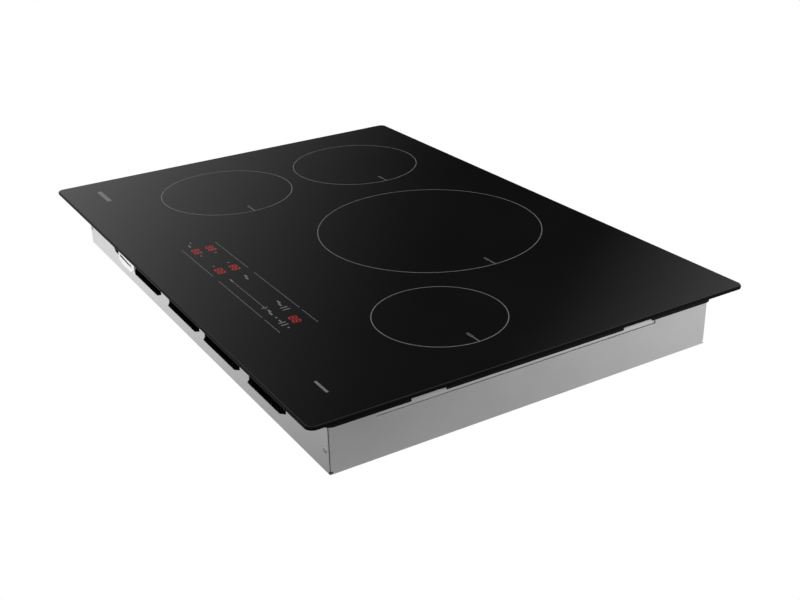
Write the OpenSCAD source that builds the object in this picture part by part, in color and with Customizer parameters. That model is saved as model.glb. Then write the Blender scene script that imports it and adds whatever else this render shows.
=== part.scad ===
// Electric induction cooktop, drop-in, four zones, touch controls.
// Origin: on the underside of the box, below the centre of the glass. +Z up, the user stands at -Y.

/* [Glass top] */
// Width of the glass, left to right
glass_w = 764; // [758:1:770]
// Depth of the glass, front to back
glass_d = 538; // [532:1:544]
// Thickness of the glass
glass_t = 4; // [4:0.5:5]
// Radius of the glass corners in plan
glass_corner_r = 9; // [6:1:14]
// Width of the ground bevel round the top edge
glass_bevel = 1.2; // [0.6:0.1:1.6]

/* [Burner box] */
// Width of the box
box_w = 708; // [704:1:710]
// Depth of the box
box_d = 481; // [479:1:482]
// How far the glass reaches in front of the box
box_setback = 33; // [32:1:34]
// Height of the box walls
box_h = 53.1; // [52.8:0.1:53.5]
// Thickness of the box's sheet steel
sheet_t = 0.8; // [0.7:0.1:0.9]
// Height from the underside of the box to the top of the glass
total_h = 76.5; // [76.5:0.5:78]

/* [Cooking zones] */
// Radius of each of the two left rings
left_ring_r = 90; // [80:1:92]
// Radius of the rear centre ring
centre_ring_r = 140; // [120:1:142]
// Radius of the right ring
right_ring_r = 72.5; // [65:0.5:80]
// Travel of a sprung coil below the glass
coil_travel = 3; // [2:0.5:4]

/* [Blowers] */
// Radius of the impeller
rotor_r = 42; // [38:1:43]
// Number of impeller blades
blades = 26; // [18:1:32]
// Radius of the fixed shaft the impeller turns on
shaft_r = 2; // [1.5:0.1:2.5]

/* [Supply and fixings] */
// Radius of the supply inlet hole in the rear plate
inlet_r = 11.1; // [10.5:0.1:14]
// Radius of the hold-down screw holes in the floor
fix_r = 2.25; // [2:0.05:2.6]
// Left-to-right spacing of the hold-down screw holes
fix_dx = 660; // [640:1:670]
// Front-to-back spacing of the hold-down screw holes
fix_dy = 430; // [420:1:440]

/* [Hidden] */
$fn = 64;

eps = 0.01;
through = 5;

// Heights, from the floor up
glass_z0 = total_h - glass_t;
bond_t = 1.2;
bond_inset = 2;
bond_w = 8;
frame_z1 = glass_z0 - bond_t;
seal_t = 2;
seal_w = 9;
seal_inset = 6;
tray_t = 1.2;
tray_z0 = box_h - 1.3;
tray_z1 = tray_z0 + tray_t;
notch_z = box_h - 6.7;
tray_flange_z = notch_z + 0.3;
notch_play = 0.3;
spacer_h = 6;
spacer_r = 3.5;
board_t = 1.6;
board_z0 = sheet_t + spacer_h;
board_z1 = board_z0 + board_t;

// The coil stack hangs just under the glass
glass_gap = 0.3;
mica_t = 1;
winding_t = 4;
carrier_t = 3;
ferrite_t = 5;
ferrite_w = 12;
ferrite_inset = 8;
mica_z1 = glass_z0 - glass_gap;
mica_z0 = mica_z1 - mica_t;
winding_z0 = mica_z0 - winding_t;
carrier_z0 = winding_z0 - carrier_t;
ferrite_z0 = carrier_z0 - ferrite_t;
coil_hole_r = 11;
mica_hole_r = 14;
sensor_r = 6;
sensor_seat = [13.5, 1.5];
spring_cup = [2, 0.8, 2];

// The box in plan
box_x = box_w / 2;
box_y0 = -glass_d / 2 + box_setback;
box_y1 = box_y0 + box_d;
box_mid_y = (box_y0 + box_y1) / 2;
seam = 1.2;
seam_relief_r = 3.4;
seam_relief_z = 3.2;
corner_tab = 16;
corner_joggle = 5;
corner_joggle_y = 4.5;
corner_tab_gap = 1.5;
rivet_z = 24;
rivet_inset = 7.7;
ledge = 10;
ledge_len = 30;
side_ledges = [-211, 205];
end_ledges = [-200, 0, 200];
screw_at = ledge * 0.62;
screw_r = 1.9;
screw_head = [3.4, 2.6, 1.8];
screw_length = 7;
screw_hole_r = 2;
tray_hole_r = 2.2;
side_notch = [-183.5, 168];
tray_tabs = [[-145.5, -102], [120.4, 163.2]];
tab_openings = [[-146.5, -105.7], [119.4, 159.7]];
tray_tab_h = 8;
tray_gap = 0.2;

// Windows along the front wall: left and right ends of the lower edge
windows = [[-177, -93], [-57, 28], [53, 139], [172, 249]];
window_z0 = 14.8;
window_z1 = 40;
window_step = 7;
window_left = 6;
window_right = 16;
side_window = [[-247, 21], [-231, 21], [-230, 25], [-230, 40], [-257, 40], [-256, 28]];
bracket_window = [[-225, -177], [19, 27]];
grille_x = [[-264, 37], [43, 273]];
grille_t = 1.5;
grille_pitch = 7;
grille_end = 8;
bracket_x = [-231, -171];
bracket_t = 1.2;
bracket_h = 27;
bracket_lip_x = [-214, -177];
bracket_lip_z = 16.5;
bracket_lip = [2.5, 3];
bracket_slot = [[-226, 22.2], [-188, 21], [-188, 23], [-226, 26]];
bracket_hole = [-185, 22.4, 2.2];

// The frame between box and glass
frame_out = 4;
frame_skin = 2;
frame_foot = 1.5;
frame_foot_w = 6;
frame_flange_w = 13;
frame_r = 10;
skin_cut = 6;
foot_cut = 4;

// Cooking zones: x, y, ring radius, ferrite bars, springs
zone_front_left = [-glass_w / 2 + 149, -glass_d / 2 + 196, left_ring_r, 8, 4];
zone_rear_left = [-glass_w / 2 + 149, -glass_d / 2 + 400, left_ring_r, 8, 4];
zone_centre = [-glass_w / 2 + 423, -glass_d / 2 + 350.5, centre_ring_r, 12, 4];
zone_right = [-glass_w / 2 + 639, -glass_d / 2 + 222, right_ring_r, 6, 3];
zones = [zone_front_left, zone_rear_left, zone_centre, zone_right];
coil_inset = 3;
turn_pitch = 4.6;
turn_w = 3.8;
turn_groove = 1;
winding_r0 = 20;
spring_r = 6;
spring_wire_r = 0.55;
spring_turns = 4;
spring_at = 0.62;
plug_at = 0.3;
plug = [10, 16, ferrite_z0 - coil_travel - tray_z1 - 1];

// Power boards: front left corner in plan, and size
board_size = [220, 170];
board_left_at = [-200, box_y0 + 20];
board_right_at = [60, box_y0 + 20];
filter_size = [100, 140];
filter_at = [-335, 40];
board_inset = 6;
sink = [90, 130, 32];
sink_at = [65, 20];
sink_base = 5;
fin_t = 1.6;
fins = 13;
board_hole_r = 1.6;
device = [5, 16, 20];
device_pitch = 25;
film = [30, 16, 26];
film_at = [12, 24];
film_pitch = 36;
bulk_r = 12;
bulk_h = 30;
bulk_at = [28, 148];
toroid = [18, 8, 14];
toroid_at = [194, 44];
toroid_pitch = 44;
coil_block = [30, 14, 16];
coil_block_at = [176, 118];
coil_block_pitch = 22;
filter_choke = [24, 11, 18];
filter_choke_at = [32, 36];
filter_film = [18, 40, 24];
filter_film_at = [16, 76];
filter_film_pitch = 26;
relay = [22, 34, 16];
relay_at = [68, 24];

// Blowers, behind the power boards
blower_wall = 1.5;
blower_r = rotor_r + 5;
blower_z0 = sheet_t + 2;
blower_z1 = 36;
blower_y = 12;
blower_feet = [41, 2.5];
outlet_w = 60;
outlet_y = -43;
rotor_z0 = blower_z0 + 4;
rotor_z1 = blower_z1 - 3.5;
rotor_hub_r = 9;
intake_r = rotor_r - 10;
motor_base_r = 13;
spoke_w = 5;
rotor_rim = 4;
rotor_skin = 1.5;
blade = [10.2, 1];
blade_turn = 25;
vents = 12;
vent = [60, 3];
vent_pitch = 6;
shaft_play = 0.05;

// Controls, under the front of the glass
control_x = [-90, 215];
control_y = [-218, -146];
control_wall = 1.5;
control_board_z = 66;
digit = [22, 12, 4.5];
digits_at = [[-55.7, -173.7], [-55.7, -192.2], [15, -173.9], [15, -192.4], [178.4, -178.3]];
key_r = 3.5;
keys_x = [-76, -34, -8, 40, 52, 66, 80, 94, 108, 122, 136, 150, 196];
keys_y = -206;
key_ring_w = 1;
chip_h = 3;
buzzer = [6, 6];
ribbon = [12, 0.8];
ribbon_plug_x = 219;
ribbon_x = ribbon_plug_x + 2.7;
ribbon_y = -200;
ribbon_plug = [6, 16, 7];

// Supply inlet, at the rear left
inlet_x = -290;
inlet_z = 24;
terminal = [60, 34, 24];
terminal_y = 190;
terminal_pitch = 14;
plate = [70, 1.5, 40];
plate_window = [54, 30];
plate_rivet_x = 31;
rivet_hole_r = 1.7;
rivet_head = [3.5, 2.4, 0.8];
rivet_shank = [1.6, 2.4];
mains_wire_r = 1.6;
mains_run_z = 14;
wire_pitch = 8;
coil_lead_r = 1.4;

function at_left(p) = board_left_at + p;
function at_right(p) = board_right_at + p;

// ---------- shared shapes ----------

module rounded_rect(w, d, r) {
    square([w - 2 * r, d], center = true);
    square([w, d - 2 * r], center = true);
    for (sx = [-1, 1], sy = [-1, 1])
        translate([sx * (w / 2 - r), sy * (d / 2 - r)])
            circle(r = r);
}

module rect_ring(w, d, r, band) {
    difference() {
        rounded_rect(w, d, r);
        rounded_rect(w - 2 * band, d - 2 * band, max(r - band, 1));
    }
}

module block(x, y, z, size) {
    translate([x, y, z])
        cube(size);
}

module ring(r_out, r_in, h) {
    difference() {
        cylinder(r = r_out, h = h);
        translate([0, 0, -1])
            cylinder(r = r_in, h = h + 2);
    }
}

// An eight-sided wire laid along points, each stretch carried past the bends at its ends
module wire(points, r) {
    last = len(points) - 2;
    for (i = [0 : last]) {
        step = points[i + 1] - points[i];
        length = norm(step);
        before = i > 0 ? r * 0.9 : 0;
        after = i < last ? r * 0.9 : 0;
        translate(points[i])
            rotate([0, acos(step[2] / length), atan2(step[1], step[0])])
                translate([0, 0, -before])
                    cylinder(r = r, h = length + before + after, $fn = 8);
    }
}

// ---------- box, tray, frame, glass ----------

module front_window(x0, x1) {
    step_z = window_z0 + window_step;
    translate([0, box_y0 + through, 0])
        rotate([90, 0, 0])
            linear_extrude(2 * through)
                polygon([
                    [x0, window_z0],
                    [x1, window_z0],
                    [x1 + window_right, step_z],
                    [x1 + window_right, window_z1],
                    [x0 + window_left, window_z1],
                    [x0 + window_left, step_z]
                ]);
}

// A cut through the front wall, from its [x0, x1] and [z0, z1]
module front_slot(span) {
    block(span[0][0], box_y0 - through, span[1][0],
          [span[0][1] - span[0][0], 2 * through, span[1][1] - span[1][0]]);
}

module box_walls() {
    front_len = box_w - 2 * seam;
    side_len = box_d - 2 * seam;
    block(-front_len / 2, box_y0, 0, [front_len, sheet_t, box_h]);
    block(-front_len / 2, box_y1 - sheet_t, 0, [front_len, sheet_t, box_h]);
    block(-box_x, box_y0 + seam, 0, [sheet_t, side_len, box_h]);
    block(box_x - sheet_t, box_y0 + seam, 0, [sheet_t, side_len, box_h]);
}

// Tabs folded from the side walls, joggled out to lie behind the front and rear walls
module corner_tabs() {
    z = sheet_t;
    h = tray_z0 - z - corner_tab_gap;
    for (sx = [-1, 1], sy = [-1, 1])
        translate([0, box_mid_y, 0])
            scale([sx, sy, 1])
                translate([box_x, box_d / 2, 0]) {
                    block(-corner_joggle, -corner_joggle_y - sheet_t, z, [corner_joggle, sheet_t, h]);
                    block(-corner_joggle, -corner_joggle_y - sheet_t, z,
                          [sheet_t, corner_joggle_y, h]);
                    block(-corner_tab, -2 * sheet_t, z, [corner_tab - corner_joggle + sheet_t, sheet_t, h]);
                }
}

module tray_ledges() {
    for (x = [-box_x + eps, box_x - ledge - eps], y = side_ledges)
        block(x, y - ledge_len / 2, tray_z0 - sheet_t, [ledge, ledge_len, sheet_t]);
    for (x = end_ledges, y = [box_y0 + eps, box_y1 - ledge - eps])
        block(x - ledge_len / 2, y, tray_z0 - sheet_t, [ledge_len, ledge, sheet_t]);
}

module ledge_points() {
    for (sx = [-1, 1], y = side_ledges)
        translate([sx * (box_x - screw_at), y, 0])
            children();
    for (x = end_ledges, y = [box_y0 + screw_at, box_y1 - screw_at])
        translate([x, y, 0])
            children();
}

module rivet_hole(x, y, z) {
    translate([x, y, z])
        rotate([90, 0, 0])
            cylinder(r = rivet_hole_r, h = 8, center = true, $fn = 32);
}

module plate_rivet_holes() {
    for (sx = [-1, 1])
        rivet_hole(inlet_x + sx * plate_rivet_x, box_y1, inlet_z);
}

module floor_vents(x) {
    for (i = [-vents / 2 : vents / 2])
        block(x - vent[0] / 2, blower_y + i * vent_pitch - vent[1] / 2, -through,
              [vent[0], vent[1], 2 * through]);
}

module base_pan() {
    color([0.78, 0.79, 0.8])
        difference() {
            union() {
                block(-box_x, box_y0, 0, [box_w, box_d, sheet_t]);
                box_walls();
                corner_tabs();
                tray_ledges();
            }
            for (w = windows)
                front_window(w[0], w[1]);
            translate([0, box_y0 + through, 0])
                rotate([90, 0, 0])
                    linear_extrude(2 * through)
                        polygon(side_window);
            front_slot(bracket_window);
            for (sx = [-1, 1])
                block(sx * box_x - 1, side_notch[0], notch_z, [2, side_notch[1] - side_notch[0], through]);
            for (sx = [-1, 1], y = [box_y0, box_y1])
                translate([sx * box_x, y, sheet_t])
                    cylinder(r = seam_relief_r, h = seam_relief_z - sheet_t, $fn = 32);
            for (sx = [-1, 1], sy = [-1, 1])
                translate([sx * fix_dx / 2, box_mid_y + sy * fix_dy / 2, -1])
                    cylinder(r = fix_r, h = 3);
            for (x = [board_left_at[0], board_right_at[0]])
                floor_vents(x + board_size[0] / 2);
            block(inlet_x - plate_window[0] / 2, box_y1 - through, inlet_z - plate_window[1] / 2,
                  [plate_window[0], 2 * through, plate_window[1]]);
            ledge_points()
                translate([0, 0, tray_z0 - 2])
                    cylinder(r = screw_hole_r, h = 3, $fn = 32);
            for (sx = [-1, 1], y = [box_y0, box_y1])
                rivet_hole(sx * (box_x - rivet_inset), y, rivet_z);
            plate_rivet_holes();
        }
}

module coil_tray() {
    w = box_w - 2 * sheet_t - 2 * tray_gap;
    d = box_d - 2 * sheet_t - 2 * tray_gap;
    color([0.72, 0.73, 0.74])
        difference() {
            union() {
                block(-w / 2, box_mid_y - d / 2, tray_z0, [w, d, tray_t]);
                for (sx = [-1, 1]) {
                    x = sx > 0 ? w / 2 - tray_t : -w / 2;
                    block(x, side_notch[0] + notch_play, tray_flange_z,
                          [tray_t, side_notch[1] - side_notch[0] - 2 * notch_play, tray_z1 - tray_flange_z]);
                    for (tab = tray_tabs)
                        block(x, tab[0], tray_z0, [tray_t, tab[1] - tab[0], tray_t + tray_tab_h]);
                }
            }
            ledge_points()
                translate([0, 0, tray_z0 - 1])
                    cylinder(r = tray_hole_r, h = 4, $fn = 32);
            for (z = zones) {
                translate([z[0], z[1], tray_z0 - 1])
                    cylinder(r = coil_hole_r, h = 4);
                block(z[0] + z[2] * plug_at - plug[0] / 2, z[1] - plug[1] / 2, tray_z0 - 1,
                      [plug[0], plug[1], 4]);
            }
            block(ribbon_plug_x, ribbon_y - 1, tray_z0 - 1, [6, ribbon[0] + 2, 4]);
        }
}

module frame_ring(band, h) {
    translate([0, box_mid_y, 0])
        linear_extrude(h)
            rect_ring(box_w + 2 * frame_out, box_d + 2 * frame_out, frame_r, band);
}

module glass_frame() {
    color([0.05, 0.05, 0.055])
        difference() {
            union() {
                translate([0, 0, box_h])
                    frame_ring(frame_skin, frame_z1 - box_h);
                translate([0, 0, box_h])
                    frame_ring(frame_foot_w, frame_foot);
                translate([0, 0, frame_z1 - frame_skin])
                    frame_ring(frame_flange_w, frame_skin);
            }
            for (sx = [-1, 1], open = tab_openings)
                block(sx * box_x - skin_cut, open[0], box_h - 1,
                      [2 * skin_cut, open[1] - open[0], tray_tab_h + 2]);
            for (sx = [-1, 1], tab = tray_tabs)
                block(sx > 0 ? box_x - foot_cut : -box_x - frame_skin, tab[0] - notch_play, box_h - 1,
                      [foot_cut + frame_skin, tab[1] - tab[0] + 2 * notch_play, tray_tab_h + 2]);
        }
}

module glass_bond() {
    color([0.12, 0.12, 0.12])
        translate([0, box_mid_y, frame_z1])
            linear_extrude(bond_t)
                rect_ring(box_w + 2 * (frame_out - bond_inset), box_d + 2 * (frame_out - bond_inset),
                          frame_r - bond_inset, bond_w);
}

module rim_seal() {
    x = glass_w / 2 - seal_inset;
    y = glass_d / 2 - seal_inset;
    z = glass_z0 - seal_t;
    color([0.16, 0.16, 0.17]) {
        for (y0 = [-y, y - seal_w])
            block(-x, y0, z, [2 * x, seal_w, seal_t]);
        for (x0 = [-x, x - seal_w])
            block(x0, -y + seal_w, z, [seal_w, 2 * (y - seal_w), seal_t]);
    }
}

module glass_plate(inset, h) {
    linear_extrude(h)
        rounded_rect(glass_w - 2 * inset, glass_d - 2 * inset, glass_corner_r - inset);
}

module glass_top() {
    color([0.03, 0.03, 0.035]) {
        translate([0, 0, glass_z0])
            glass_plate(0, glass_t - glass_bevel);
        hull() {
            translate([0, 0, total_h - glass_bevel - eps])
                glass_plate(0, eps);
            translate([0, 0, total_h - eps])
                glass_plate(glass_bevel, eps);
        }
    }
}

// ---------- coils ----------

module winding(z) {
    r1 = z[2] - coil_inset - 2;
    turns = floor((r1 - winding_r0) / turn_pitch);
    top = winding_t;
    comb = [
        for (i = [0 : turns - 1])
            let (r = winding_r0 + i * turn_pitch)
                each [[r, turn_groove], [r, top], [r + turn_w, top], [r + turn_w, turn_groove]]
    ];
    last = winding_r0 + (turns - 1) * turn_pitch + turn_w;
    color([0.72, 0.38, 0.16])
        translate([z[0], z[1], winding_z0])
            rotate_extrude($fn = 96)
                polygon(concat([[winding_r0, 0]], comb, [[last, 0]]));
}

module carrier(z) {
    r1 = z[2] - coil_inset;
    color([0.86, 0.85, 0.8])
        translate([z[0], z[1], 0]) {
            difference() {
                translate([0, 0, carrier_z0])
                    cylinder(r = r1, h = carrier_t);
                translate([0, 0, carrier_z0 - 1])
                    cylinder(r = coil_hole_r, h = carrier_t + 2);
            }
            translate([0, 0, carrier_z0 - spring_cup[2] + eps])
                for (i = [0 : z[4] - 1])
                    rotate([0, 0, 180 / z[3] + i * 360 / z[4]])
                        translate([z[2] * spring_at, 0, 0])
                            ring(spring_r + spring_cup[0], spring_r + spring_cup[1], spring_cup[2]);
        }
}

module ferrites(z) {
    r0 = ferrite_w * z[3] / (2 * PI) + ferrite_inset;
    r1 = z[2] - ferrite_inset;
    color([0.2, 0.2, 0.21])
        translate([z[0], z[1], ferrite_z0])
            for (i = [0 : z[3] - 1])
                rotate([0, 0, i * 360 / z[3]])
                    translate([r0, -ferrite_w / 2, 0])
                        cube([r1 - r0, ferrite_w, ferrite_t]);
}

module mica(z) {
    color([0.8, 0.74, 0.6])
        translate([z[0], z[1], mica_z0])
            ring(z[2] - 1, mica_hole_r, mica_t);
}

module sensor(z) {
    color([0.9, 0.9, 0.88])
        translate([z[0], z[1], 0]) {
            translate([0, 0, winding_z0])
                cylinder(r = sensor_seat[0], h = sensor_seat[1]);
            translate([0, 0, ferrite_z0])
                cylinder(r = sensor_r, h = mica_z1 - ferrite_z0);
        }
}

// One ring of points of a spring's wire, at a turn angle
function wire_ring(angle, z, sides) = [
    for (k = [0 : sides - 1])
        let (q = k * 360 / sides, r = spring_r + spring_wire_r * cos(q))
            [r * cos(angle), r * sin(angle), z + spring_wire_r * sin(q)]
];

module coil_spring(h) {
    sides = 6;
    steps = 14;
    rings = spring_turns * steps;
    rise = h - 2 * spring_wire_r - 0.02;
    points = [
        for (i = [0 : rings])
            each wire_ring(i * 360 / steps, spring_wire_r + 0.01 + rise * i / rings, sides)
    ];
    skin = [
        for (i = [0 : rings - 1], k = [0 : sides - 1])
            let (a = i * sides + k, b = i * sides + (k + 1) % sides)
                each [[a, b, b + sides], [a, b + sides, a + sides]]
    ];
    start = [for (k = [1 : sides - 2]) [0, k + 1, k]];
    n = rings * sides;
    finish = [for (k = [1 : sides - 2]) [n, n + k, n + k + 1]];
    polyhedron(points = points, faces = concat(skin, start, finish));
}

module springs(z) {
    color([0.7, 0.7, 0.72])
        translate([z[0], z[1], tray_z1])
            for (i = [0 : z[4] - 1])
                rotate([0, 0, 180 / z[3] + i * 360 / z[4]])
                    translate([z[2] * spring_at, 0, 0])
                        coil_spring(carrier_z0 - tray_z1);
}

// ---------- power electronics ----------

module circuit_board(at, size) {
    color([0.1, 0.36, 0.2])
        difference() {
            block(at[0], at[1], board_z0, [size[0], size[1], board_t]);
            for (x = [board_inset, size[0] - board_inset], y = [board_inset, size[1] - board_inset])
                translate([at[0] + x, at[1] + y, board_z0 - 1])
                    cylinder(r = board_hole_r, h = 4, $fn = 24);
        }
}

module heatsink(at) {
    pitch = (sink[0] - fin_t) / (fins - 1);
    comb = [
        for (i = [0 : fins - 1])
            let (x = i * pitch)
                each [[x, sink_base], [x, sink[2]], [x + fin_t, sink[2]], [x + fin_t, sink_base]]
    ];
    profile = concat([[0, 0]], comb, [[sink[0], 0]]);
    color([0.75, 0.76, 0.78])
        translate([at[0] + sink_at[0], at[1] + sink_at[1] + sink[1], board_z1])
            rotate([90, 0, 0])
                linear_extrude(sink[1])
                    polygon(profile);
}

module power_devices(at) {
    color([0.12, 0.12, 0.13])
        for (i = [0 : 4])
            block(at[0] + sink_at[0] - device[0], at[1] + sink_at[1] + 6 + i * device_pitch, board_z1 + 4,
                  device);
}

module capacitors(at) {
    color([0.85, 0.7, 0.25])
        for (i = [0 : 2])
            block(at[0] + film_at[0], at[1] + film_at[1] + i * film_pitch, board_z1, film);
    color([0.16, 0.18, 0.3])
        translate([at[0] + bulk_at[0], at[1] + bulk_at[1], board_z1])
            cylinder(r = bulk_r, h = bulk_h);
}

module chokes(at) {
    color([0.55, 0.3, 0.14])
        for (i = [0, 1])
            translate([at[0] + toroid_at[0], at[1] + toroid_at[1] + i * toroid_pitch, board_z1])
                ring(toroid[0], toroid[1], toroid[2]);
    color([0.13, 0.2, 0.4])
        for (i = [0, 1])
            block(at[0] + coil_block_at[0], at[1] + coil_block_at[1] + i * coil_block_pitch, board_z1,
                  coil_block);
}

module filter_parts() {
    color([0.14, 0.14, 0.15])
        translate([filter_at[0] + filter_choke_at[0], filter_at[1] + filter_choke_at[1], board_z1])
            ring(filter_choke[0], filter_choke[1], filter_choke[2]);
    color([0.85, 0.7, 0.25])
        for (i = [0 : 2])
            block(filter_at[0] + filter_film_at[0] + i * filter_film_pitch, filter_at[1] + filter_film_at[1],
                  board_z1, filter_film);
    color([0.75, 0.75, 0.78])
        block(filter_at[0] + relay_at[0], filter_at[1] + relay_at[1], board_z1, relay);
}

// ---------- blowers ----------

module blower_housing(x) {
    h = blower_z1 - blower_z0;
    outlet_d = blower_y - outlet_y;
    color([0.15, 0.15, 0.16])
        translate([x, blower_y, blower_z0]) {
            difference() {
                union() {
                    cylinder(r = blower_r, h = h);
                    block(blower_r - outlet_w, -outlet_d, 0, [outlet_w, outlet_d, h]);
                }
                translate([0, 0, blower_wall])
                    cylinder(r = blower_r - blower_wall, h = h - 2 * blower_wall);
                block(blower_r - outlet_w + blower_wall, -outlet_d - 1, blower_wall,
                      [outlet_w - 2 * blower_wall, outlet_d + 1, h - 2 * blower_wall]);
                translate([0, 0, -1])
                    cylinder(r = intake_r, h = blower_wall + 2);
            }
            for (a = [30, 150, 270])
                rotate([0, 0, a])
                    block(0, -spoke_w / 2, 0, [intake_r + 2, spoke_w, blower_wall]);
            cylinder(r = motor_base_r, h = blower_wall + 1);
            cylinder(r = shaft_r, h = rotor_z1 - blower_z0 - 2, $fn = 48);
        }
}

module blower_rotor(x) {
    h = rotor_z1 - rotor_z0;
    color([0.08, 0.08, 0.09])
        translate([x, blower_y, rotor_z0])
            difference() {
                union() {
                    translate([0, 0, h - rotor_skin])
                        cylinder(r = rotor_r, h = rotor_skin);
                    cylinder(r = rotor_hub_r, h = h);
                    ring(rotor_r, rotor_r - rotor_rim, rotor_skin);
                    for (i = [0 : blades - 1])
                        rotate([0, 0, i * 360 / blades])
                            translate([rotor_r - 11, 0, rotor_skin / 3])
                                rotate([0, 0, blade_turn])
                                    cube([blade[0], blade[1], h - 2 * rotor_skin / 3]);
                }
                translate([0, 0, -1])
                    cylinder(r = shaft_r + shaft_play, h = h - 0.5, $fn = 48);
            }
}

// ---------- controls ----------

module control_holder() {
    w = control_x[1] - control_x[0];
    d = control_y[1] - control_y[0];
    h = control_board_z - tray_z1;
    color([0.18, 0.18, 0.19])
        difference() {
            block(control_x[0], control_y[0], tray_z1, [w, d, h]);
            block(control_x[0] + control_wall, control_y[0] + control_wall, tray_z1 + control_wall,
                  [w - 2 * control_wall, d - 2 * control_wall, h]);
            block(control_x[1] - 4, ribbon_y - 2, control_board_z - 6, [8, ribbon[0] + 4, 8]);
        }
}

module control_board() {
    w = control_x[1] - control_x[0];
    d = control_y[1] - control_y[0];
    z = control_board_z;
    color([0.08, 0.25, 0.16])
        block(control_x[0] + 0.5, control_y[0] + 0.5, z, [w - 1, d - 1, board_t]);
    color([0.1, 0.1, 0.1]) {
        block(118, -188, z - chip_h, [12, 12, chip_h]);
        block(90, -170, z - chip_h, [16, 10, chip_h]);
        translate([-20, -160, z - buzzer[1]])
            cylinder(r = buzzer[0], h = buzzer[1]);
    }
}

module digit_displays() {
    color([0.35, 0.05, 0.05])
        for (p = digits_at)
            block(p[0] - digit[0] / 2, p[1] - digit[1] / 2, control_board_z + board_t, digit);
}

module touch_springs() {
    z = control_board_z + board_t;
    color([0.75, 0.7, 0.5])
        for (x = keys_x)
            translate([x, keys_y, z])
                ring(key_r, key_r - key_ring_w, glass_z0 - z);
}

module ribbon_cable() {
    z = control_board_z - 5;
    run_x = control_x[1] - 10;
    color([0.6, 0.6, 0.62]) {
        block(run_x, ribbon_y, z, [ribbon_x + ribbon[1] - run_x, ribbon[0], ribbon[1]]);
        block(ribbon_x, ribbon_y, board_z1 + ribbon_plug[2] - 1,
              [ribbon[1], ribbon[0], z - board_z1 - ribbon_plug[2] + 1 + ribbon[1]]);
        block(ribbon_plug_x, ribbon_y - 2, board_z1, ribbon_plug);
    }
}

// ---------- supply, fixings, wiring ----------

module terminal_block() {
    color([0.9, 0.9, 0.86])
        difference() {
            block(inlet_x - terminal[0] / 2, terminal_y, sheet_t, terminal);
            for (i = [0 : 3])
                block(inlet_x - 26 + i * terminal_pitch, terminal_y - 2, 16, [terminal_pitch - 4, 26, 12]);
        }
}

// Riveted over a window in the rear wall
module conduit_plate() {
    color([0.74, 0.75, 0.76])
        difference() {
            block(inlet_x - plate[0] / 2, box_y1, inlet_z - plate[2] / 2, plate);
            translate([inlet_x, box_y1, inlet_z])
                rotate([90, 0, 0])
                    cylinder(r = inlet_r, h = 10, center = true);
            plate_rivet_holes();
        }
}

// Slotted black plates just behind the front windows
module air_grille() {
    color([0.04, 0.04, 0.04])
        for (x = grille_x)
            difference() {
                block(x[0], box_y0 + sheet_t, 2, [x[1] - x[0], grille_t, window_z1 + 2]);
                for (slot = [x[0] + grille_end : grille_pitch : x[1] - grille_end])
                    block(slot, box_y0, window_z0, [grille_pitch - 3, 2 * through, window_z1 - window_z0]);
            }
}

// Plate over a small window in the front wall, with a slot, a hole and a sloping lip near its foot
module front_bracket() {
    color([0.88, 0.88, 0.9]) {
        difference() {
            block(bracket_x[0], box_y0 - bracket_t, window_z0,
                  [bracket_x[1] - bracket_x[0], bracket_t, bracket_h]);
            translate([0, box_y0, 0])
                rotate([90, 0, 0])
                    linear_extrude(2 * through, center = true)
                        polygon(bracket_slot);
            translate([bracket_hole[0], box_y0, bracket_hole[1]])
                rotate([90, 0, 0])
                    cylinder(r = bracket_hole[2], h = 2 * through, center = true, $fn = 32);
        }
        translate([bracket_lip_x[0], box_y0 - bracket_t, bracket_lip_z])
            rotate([90, 0, 90])
                linear_extrude(bracket_lip_x[1] - bracket_lip_x[0])
                    polygon([[eps, 0], [-bracket_lip[0], 0], [-bracket_lip[0], 1], [eps, bracket_lip[1]]]);
    }
}

// A blind rivet with its head on the face at y, pointing to the front or the rear
module rivet(x, y, z, side) {
    translate([x, y, z])
        rotate([side * -90, 0, 0]) {
            cylinder(r1 = rivet_head[0], r2 = rivet_head[1], h = rivet_head[2], $fn = 32);
            translate([0, 0, -rivet_shank[1]])
                cylinder(r = rivet_shank[0], h = rivet_shank[1] + eps, $fn = 32);
        }
}

module case_rivets() {
    color([0.5, 0.5, 0.52])
        for (sx = [-1, 1]) {
            rivet(sx * (box_x - rivet_inset), box_y0, rivet_z, -1);
            rivet(sx * (box_x - rivet_inset), box_y1, rivet_z, 1);
            rivet(inlet_x + sx * plate_rivet_x, box_y1 + plate[1], inlet_z, 1);
        }
}

module tray_screws() {
    color([0.8, 0.8, 0.82])
        ledge_points()
            translate([0, 0, tray_z1]) {
                cylinder(r1 = screw_head[0], r2 = screw_head[1], h = screw_head[2], $fn = 32);
                translate([0, 0, -screw_length])
                    cylinder(r = screw_r, h = screw_length + eps, $fn = 32);
            }
}

module spacer_set(at, size) {
    for (x = [board_inset, size[0] - board_inset], y = [board_inset, size[1] - board_inset])
        translate([at[0] + x, at[1] + y, sheet_t])
            cylinder(r = spacer_r, h = spacer_h, $fn = 32);
}

module board_spacers() {
    color([0.92, 0.92, 0.9]) {
        spacer_set(board_left_at, board_size);
        spacer_set(board_right_at, board_size);
        spacer_set(filter_at, filter_size);
        for (x = [board_left_at[0], board_right_at[0]], a = [0, 90, 180, 270])
            translate([x + board_size[0] / 2 + blower_feet[0] * cos(a), blower_y + blower_feet[0] * sin(a),
                       sheet_t])
                cylinder(r = blower_feet[1], h = blower_z0 - sheet_t, $fn = 32);
    }
}

// From one board up, across, along to another board's edge and down to it
module wire_run(x0, y0, turn_x, x1, y1) {
    z = mains_run_z;
    wire([[x0, y0, board_z1], [x0, y0, z], [turn_x, y0, z], [turn_x, y1, z], [x1, y1, z], [x1, y1, board_z1]],
         mains_wire_r);
}

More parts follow.
